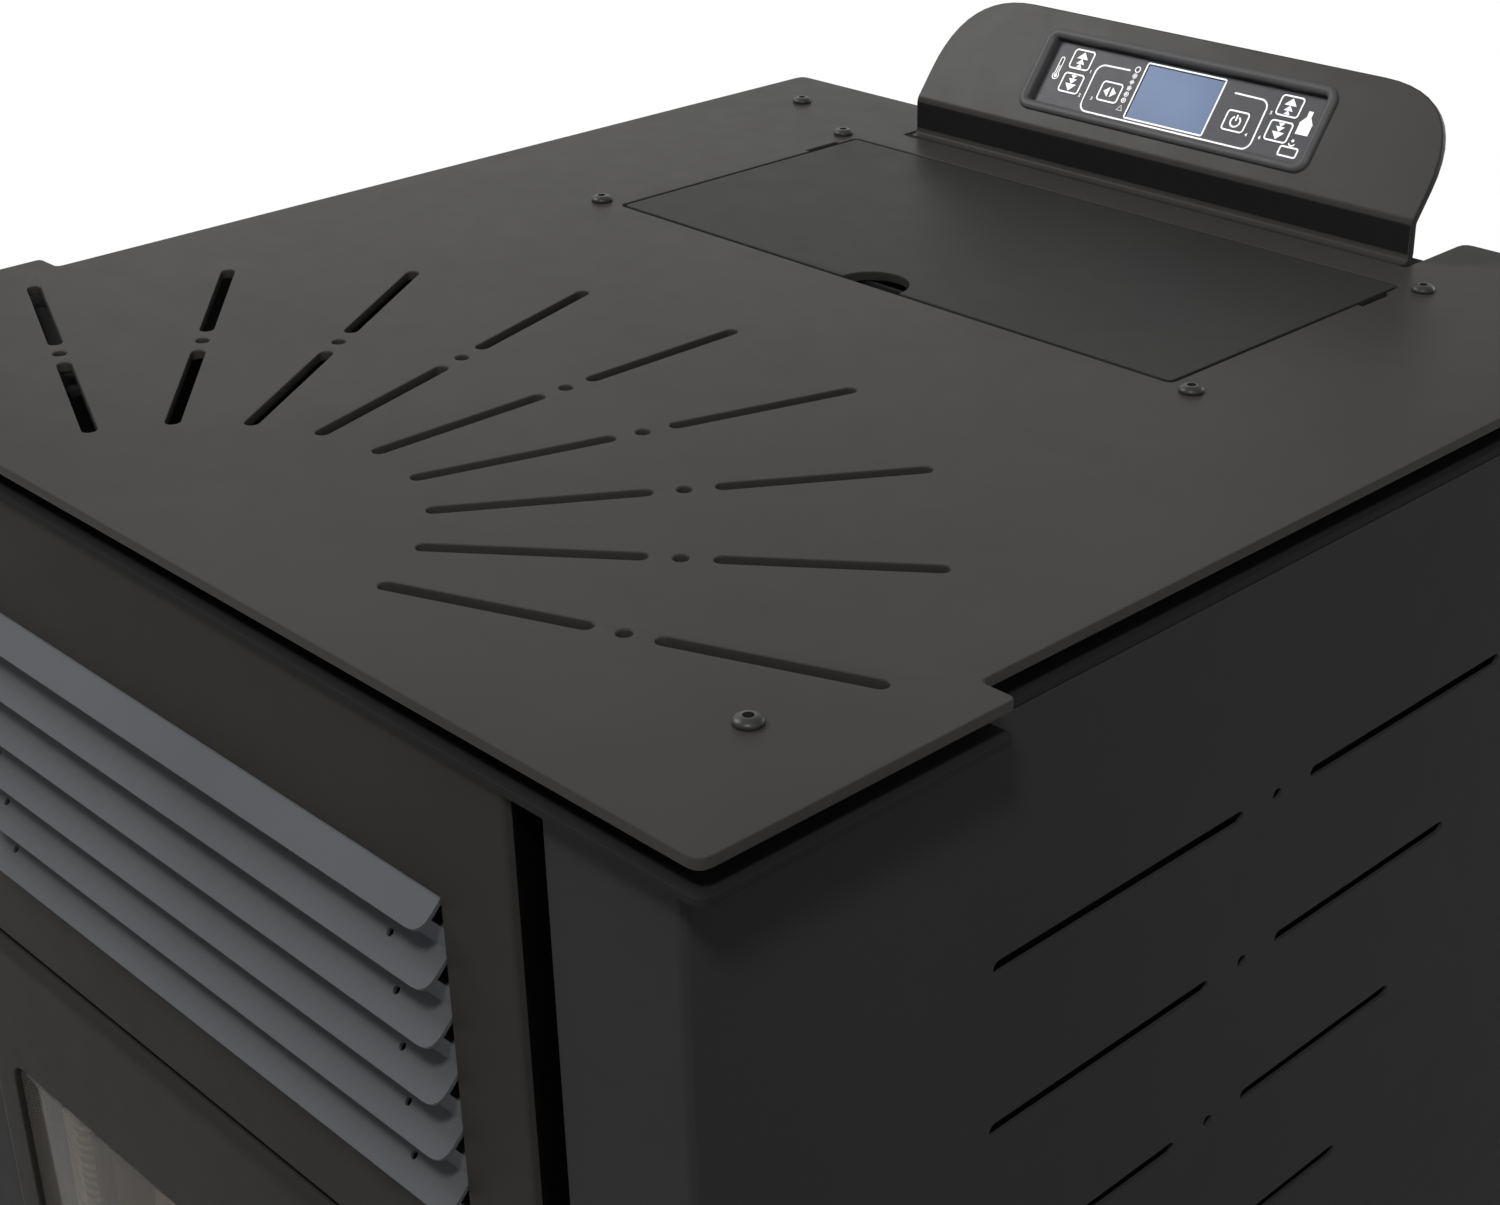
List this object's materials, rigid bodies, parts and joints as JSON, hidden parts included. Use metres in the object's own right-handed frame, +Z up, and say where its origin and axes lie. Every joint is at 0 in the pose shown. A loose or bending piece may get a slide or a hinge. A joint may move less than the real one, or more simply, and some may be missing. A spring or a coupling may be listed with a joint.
{
  "type": "pellet stove",
  "caption": "Free-standing pellet stove with slotted flat top, hinged hopper lid, raised control console, louvre grille, glazed door, auger feed, fans and ash drawer.",
  "frame": {"origin": "on the floor, at the centre of the object's footprint box", "axes": "+Z up; the door and grille face -Y; +X to the right seen from the front"},
  "size_m": [0.552, 0.624, 1.0139],
  "materials": {
    "top_paint": "satin powder coat, warm near-black",
    "lid_paint": "satin powder coat, warm near-black",
    "side_paint": "smooth satin black",
    "front_paint": "satin powder coat, warm near-black",
    "frame_paint": "matt black",
    "louvre_paint": "satin mid grey",
    "screw_black": "black oxide button heads",
    "bezel_plastic": "fine matt",
    "keypad_film": "printed film, light grey line print",
    "key_film": "printed film, light grey symbols",
    "display": "blue-grey display behind clear film",
    "door_glass": "heat-proof, faintly smoked",
    "rope_seal": "braided mineral rope",
    "handle_steel": "brushed",
    "firebox_iron": "matt, heat-dulled",
    "lining": "pale heat-proof board",
    "zinc_sheet": "zinc-coated",
    "bare_steel": "turned and pressed steel",
    "motor_black": "black",
    "foot_rubber": "matt",
    "socket_plastic": "fine matt"
  },
  "bodies": {
    "cabinet": {"top_plate": "top_paint", "deck_plate": "top_paint", "top_screw_1": "screw_black", "top_screw_2": "screw_black", "top_screw_3": "screw_black", "top_screw_4": "screw_black", "top_screw_5": "screw_black", "top_screw_6": "screw_black", "top_screw_7": "screw_black", "top_screw_8": "screw_black", "console_bezel": "bezel_plastic", "keypad": "keypad_film", "display_screen": "display", "right_side_panel": "side_paint", "left_side_panel": "side_paint", "right_heat_shield": "zinc_sheet", "left_heat_shield": "zinc_sheet", "base_pan": "frame_paint", "foot_front_left": "foot_rubber", "foot_front_right": "foot_rubber", "foot_back_left": "foot_rubber", "foot_back_right": "foot_rubber", "back_panel": "frame_paint", "front_frame": "frame_paint", "front_fascia": "front_paint", "louvre_grille": "louvre_paint", "firebox": "firebox_iron", "fire_lining": "lining", "baffle": "lining", "pot_support": "firebox_iron", "feed_chute": "firebox_iron", "hopper": "zinc_sheet", "auger_tube": "firebox_iron", "auger_motor": "zinc_sheet", "smoke_duct": "zinc_sheet", "exhaust_housing": "zinc_sheet", "exhaust_motor": "motor_black", "flue_pipe": "frame_paint", "intake_pipe": "zinc_sheet", "blower_housing": "zinc_sheet", "mains_inlet": "socket_plastic"},
    "lid": {"hopper_lid": "lid_paint"},
    "door": {"door_frame": "front_paint", "door_glass": "door_glass", "glass_retainer": "frame_paint", "door_gasket": "rope_seal"},
    "handle": {"door_handle": "handle_steel"},
    "drawer": {"ash_drawer": "front_paint"},
    "pot": {"burn_pot": "firebox_iron"},
    "auger": {"auger_screw": "bare_steel"},
    "exhaust_fan": {"exhaust_impeller": "bare_steel"},
    "room_fan": {"blower_rotor": "bare_steel"},
    "switch": {"mains_switch": "socket_plastic"},
    "key_heat_up": {"key_heat_up": "key_film"},
    "key_heat_down": {"key_heat_down": "key_film"},
    "key_set": {"key_set": "key_film"},
    "key_power": {"key_power": "key_film"},
    "key_fan_up": {"key_fan_up": "key_film"},
    "key_fan_down": {"key_fan_down": "key_film"}
  },
  "joints": [
    {"name": "lid_hinge", "type": "hinge", "parent": "cabinet", "child": "lid", "pos_m": [0, 0.1915, 0.942], "axis": [-1, 0, 0], "range_deg": [0, 85]},
    {"name": "door_hinge", "type": "hinge", "parent": "cabinet", "child": "door", "pos_m": [-0.183, -0.269, 0.437], "axis": [0, 0, -1], "range_deg": [0, 90]},
    {"name": "handle_turn", "type": "hinge", "parent": "door", "child": "handle", "pos_m": [0.184, -0.278, 0.47], "axis": [0, 1, 0], "range_deg": [0, 90]},
    {"name": "drawer_slide", "type": "slide", "parent": "cabinet", "child": "drawer", "axis": [0, -1, 0], "range_m": [0, 0.2]},
    {"name": "pot_lift", "type": "slide", "parent": "cabinet", "child": "pot", "axis": [0, 0, 1], "range_m": [0, 0.1]},
    {"name": "auger_spin", "type": "hinge", "parent": "cabinet", "child": "auger", "pos_m": [0, 0.184, 0.33], "axis": [0, -0.7071, 0.7071], "continuous": true},
    {"name": "exhaust_spin", "type": "hinge", "parent": "cabinet", "child": "exhaust_fan", "pos_m": [0.104, 0.062, 0.166], "axis": [0, 1, 0], "continuous": true},
    {"name": "room_fan_spin", "type": "hinge", "parent": "cabinet", "child": "room_fan", "pos_m": [-0.149, 0.074, 0.108], "axis": [1, 0, 0], "continuous": true},
    {"name": "switch_rock", "type": "hinge", "parent": "cabinet", "child": "switch", "pos_m": [0.2035, 0.2753, 0.25], "axis": [-1, 0, 0], "range_deg": [0, 8]},
    {"name": "key_heat_up_press", "type": "slide", "parent": "cabinet", "child": "key_heat_up", "axis": [0, 0.788, -0.6157], "range_m": [0, 0.0005], "stiffness_N_per_m": 800, "springref_m": -0.0002},
    {"name": "key_heat_down_press", "type": "slide", "parent": "cabinet", "child": "key_heat_down", "axis": [0, 0.788, -0.6157], "range_m": [0, 0.0005], "stiffness_N_per_m": 800, "springref_m": -0.0002},
    {"name": "key_set_press", "type": "slide", "parent": "cabinet", "child": "key_set", "axis": [0, 0.788, -0.6157], "range_m": [0, 0.0005], "stiffness_N_per_m": 800, "springref_m": -0.0002},
    {"name": "key_power_press", "type": "slide", "parent": "cabinet", "child": "key_power", "axis": [0, 0.788, -0.6157], "range_m": [0, 0.0005], "stiffness_N_per_m": 800, "springref_m": -0.0002},
    {"name": "key_fan_up_press", "type": "slide", "parent": "cabinet", "child": "key_fan_up", "axis": [0, 0.788, -0.6157], "range_m": [0, 0.0005], "stiffness_N_per_m": 800, "springref_m": -0.0002},
    {"name": "key_fan_down_press", "type": "slide", "parent": "cabinet", "child": "key_fan_down", "axis": [0, 0.788, -0.6157], "range_m": [0, 0.0005], "stiffness_N_per_m": 800, "springref_m": -0.0002}
  ]
}
